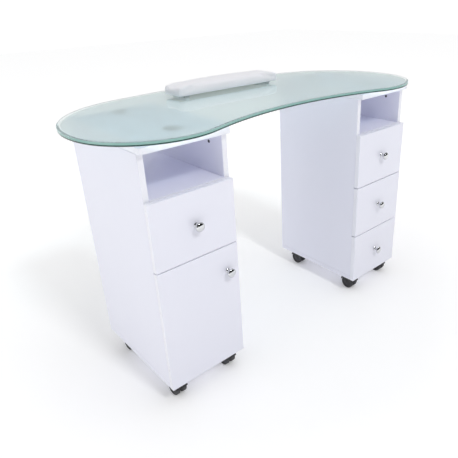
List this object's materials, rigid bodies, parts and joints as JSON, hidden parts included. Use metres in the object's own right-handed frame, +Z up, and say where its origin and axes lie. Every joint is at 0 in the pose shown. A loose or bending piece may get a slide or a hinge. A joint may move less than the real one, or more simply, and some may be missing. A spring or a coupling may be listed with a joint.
{
  "type": "manicure table",
  "caption": "Kidney-shaped frosted glass table on two white wheeled cabinets with drawers, a cupboard, open cubbies and a padded armrest.",
  "frame": {"origin": "on the floor, under the middle of the kidney-shaped glass top", "axes": "+Z up; +X along the table, from the cupboard cabinet to the drawer cabinet; drawers and door face -Y and the client sits at +Y"},
  "size_m": [1.19, 0.5511, 0.7893],
  "materials": {
    "laminate": "satin white melamine-faced particle board",
    "glass": "green-tinted float glass, satin frosted faces and polished edge",
    "vinyl": "soft white upholstery vinyl, fine grain",
    "fibreboard": "raw medium-density fibreboard",
    "rubber": "matt rubber",
    "chrome": "polished chrome plate",
    "hinge_steel": "bright nickel-plated pressed steel",
    "runner_steel": "white epoxy-coated rolled steel",
    "caster_nylon": "black moulded nylon",
    "caster_wheel": "black moulded nylon with a lightly scuffed tread"
  },
  "bodies": {
    "root": {"door_hinge_arm_lower": "hinge_steel", "door_hinge_arm_upper": "hinge_steel", "glass_top": "glass", "left_back_panel": "laminate", "left_bottom_board": "laminate", "left_divider": "laminate", "left_drawer_runner_left": "runner_steel", "left_drawer_runner_right": "runner_steel", "left_inner_side": "laminate", "left_outer_side": "laminate", "left_shelf": "laminate", "left_top_board": "laminate", "right_back_panel": "laminate", "right_bottom_board": "laminate", "right_bottom_drawer_runner_left": "runner_steel", "right_bottom_drawer_runner_right": "runner_steel", "right_inner_side": "laminate", "right_middle_drawer_runner_left": "runner_steel", "right_middle_drawer_runner_right": "runner_steel", "right_outer_side": "laminate", "right_shelf": "laminate", "right_top_board": "laminate", "right_top_drawer_runner_left": "runner_steel", "right_top_drawer_runner_right": "runner_steel"},
    "armrest": {"armrest_cushion": "vinyl", "armrest_board": "fibreboard", "armrest_foot_left": "rubber", "armrest_foot_right": "rubber"},
    "left_drawer": {"left_drawer_front": "laminate", "left_drawer_box": "laminate", "left_drawer_knob": "chrome"},
    "right_top_drawer": {"right_top_drawer_front": "laminate", "right_top_drawer_box": "laminate", "right_top_drawer_knob": "chrome"},
    "right_middle_drawer": {"right_middle_drawer_front": "laminate", "right_middle_drawer_box": "laminate", "right_middle_drawer_knob": "chrome"},
    "right_bottom_drawer": {"right_bottom_drawer_front": "laminate", "right_bottom_drawer_box": "laminate", "right_bottom_drawer_knob": "chrome"},
    "door": {"door_panel": "laminate", "door_knob": "chrome", "door_hinge_cup_lower": "hinge_steel", "door_hinge_cup_upper": "hinge_steel"},
    "left_caster_front_left": {"left_caster_front_left_hood": "caster_nylon"},
    "left_caster_front_left_roll": {"left_caster_front_left_wheels": "caster_wheel"},
    "left_caster_front_right": {"left_caster_front_right_hood": "caster_nylon"},
    "left_caster_front_right_roll": {"left_caster_front_right_wheels": "caster_wheel"},
    "left_caster_rear_left": {"left_caster_rear_left_hood": "caster_nylon"},
    "left_caster_rear_left_roll": {"left_caster_rear_left_wheels": "caster_wheel"},
    "left_caster_rear_right": {"left_caster_rear_right_hood": "caster_nylon"},
    "left_caster_rear_right_roll": {"left_caster_rear_right_wheels": "caster_wheel"},
    "right_caster_front_left": {"right_caster_front_left_hood": "caster_nylon"},
    "right_caster_front_left_roll": {"right_caster_front_left_wheels": "caster_wheel"},
    "right_caster_front_right": {"right_caster_front_right_hood": "caster_nylon"},
    "right_caster_front_right_roll": {"right_caster_front_right_wheels": "caster_wheel"},
    "right_caster_rear_left": {"right_caster_rear_left_hood": "caster_nylon"},
    "right_caster_rear_left_roll": {"right_caster_rear_left_wheels": "caster_wheel"},
    "right_caster_rear_right": {"right_caster_rear_right_hood": "caster_nylon"},
    "right_caster_rear_right_roll": {"right_caster_rear_right_wheels": "caster_wheel"}
  },
  "joints": [
    {"name": "left_drawer_slide", "type": "slide", "parent": "root", "child": "left_drawer", "axis": [0, -1, 0], "range_m": [0, 0.24]},
    {"name": "right_top_drawer_slide", "type": "slide", "parent": "root", "child": "right_top_drawer", "axis": [0, -1, 0], "range_m": [0, 0.24]},
    {"name": "right_middle_drawer_slide", "type": "slide", "parent": "root", "child": "right_middle_drawer", "axis": [0, -1, 0], "range_m": [0, 0.24]},
    {"name": "right_bottom_drawer_slide", "type": "slide", "parent": "root", "child": "right_bottom_drawer", "axis": [0, -1, 0], "range_m": [0, 0.24]},
    {"name": "door_hinge", "type": "hinge", "parent": "root", "child": "door", "pos_m": [-0.511, -0.218, 0.055], "axis": [0, 0, -1], "range_deg": [0, 110]},
    {"name": "armrest_lift", "type": "slide", "parent": "root", "child": "armrest", "axis": [0, 0, 1], "range_m": [0, 0.1]},
    {"name": "left_caster_front_left_swivel", "type": "hinge", "parent": "root", "child": "left_caster_front_left", "pos_m": [-0.475, -0.173, 0.055], "axis": [0, 0, 1], "continuous": true},
    {"name": "left_caster_front_left_spin", "type": "hinge", "parent": "left_caster_front_left", "child": "left_caster_front_left_roll", "pos_m": [-0.475, -0.19, 0.024], "axis": [1, 0, 0], "continuous": true},
    {"name": "left_caster_front_right_swivel", "type": "hinge", "parent": "root", "child": "left_caster_front_right", "pos_m": [-0.299, -0.173, 0.055], "axis": [0, 0, 1], "continuous": true},
    {"name": "left_caster_front_right_spin", "type": "hinge", "parent": "left_caster_front_right", "child": "left_caster_front_right_roll", "pos_m": [-0.299, -0.19, 0.024], "axis": [1, 0, 0], "continuous": true},
    {"name": "left_caster_rear_left_swivel", "type": "hinge", "parent": "root", "child": "left_caster_rear_left", "pos_m": [-0.475, 0.094, 0.055], "axis": [0, 0, 1], "continuous": true},
    {"name": "left_caster_rear_left_spin", "type": "hinge", "parent": "left_caster_rear_left", "child": "left_caster_rear_left_roll", "pos_m": [-0.475, 0.077, 0.024], "axis": [1, 0, 0], "continuous": true},
    {"name": "left_caster_rear_right_swivel", "type": "hinge", "parent": "root", "child": "left_caster_rear_right", "pos_m": [-0.299, 0.094, 0.055], "axis": [0, 0, 1], "continuous": true},
    {"name": "left_caster_rear_right_spin", "type": "hinge", "parent": "left_caster_rear_right", "child": "left_caster_rear_right_roll", "pos_m": [-0.299, 0.077, 0.024], "axis": [1, 0, 0], "continuous": true},
    {"name": "right_caster_front_left_swivel", "type": "hinge", "parent": "root", "child": "right_caster_front_left", "pos_m": [0.299, -0.173, 0.055], "axis": [0, 0, 1], "continuous": true},
    {"name": "right_caster_front_left_spin", "type": "hinge", "parent": "right_caster_front_left", "child": "right_caster_front_left_roll", "pos_m": [0.299, -0.19, 0.024], "axis": [1, 0, 0], "continuous": true},
    {"name": "right_caster_front_right_swivel", "type": "hinge", "parent": "root", "child": "right_caster_front_right", "pos_m": [0.475, -0.173, 0.055], "axis": [0, 0, 1], "continuous": true},
    {"name": "right_caster_front_right_spin", "type": "hinge", "parent": "right_caster_front_right", "child": "right_caster_front_right_roll", "pos_m": [0.475, -0.19, 0.024], "axis": [1, 0, 0], "continuous": true},
    {"name": "right_caster_rear_left_swivel", "type": "hinge", "parent": "root", "child": "right_caster_rear_left", "pos_m": [0.299, 0.094, 0.055], "axis": [0, 0, 1], "continuous": true},
    {"name": "right_caster_rear_left_spin", "type": "hinge", "parent": "right_caster_rear_left", "child": "right_caster_rear_left_roll", "pos_m": [0.299, 0.077, 0.024], "axis": [1, 0, 0], "continuous": true},
    {"name": "right_caster_rear_right_swivel", "type": "hinge", "parent": "root", "child": "right_caster_rear_right", "pos_m": [0.475, 0.094, 0.055], "axis": [0, 0, 1], "continuous": true},
    {"name": "right_caster_rear_right_spin", "type": "hinge", "parent": "right_caster_rear_right", "child": "right_caster_rear_right_roll", "pos_m": [0.475, 0.077, 0.024], "axis": [1, 0, 0], "continuous": true}
  ]
}
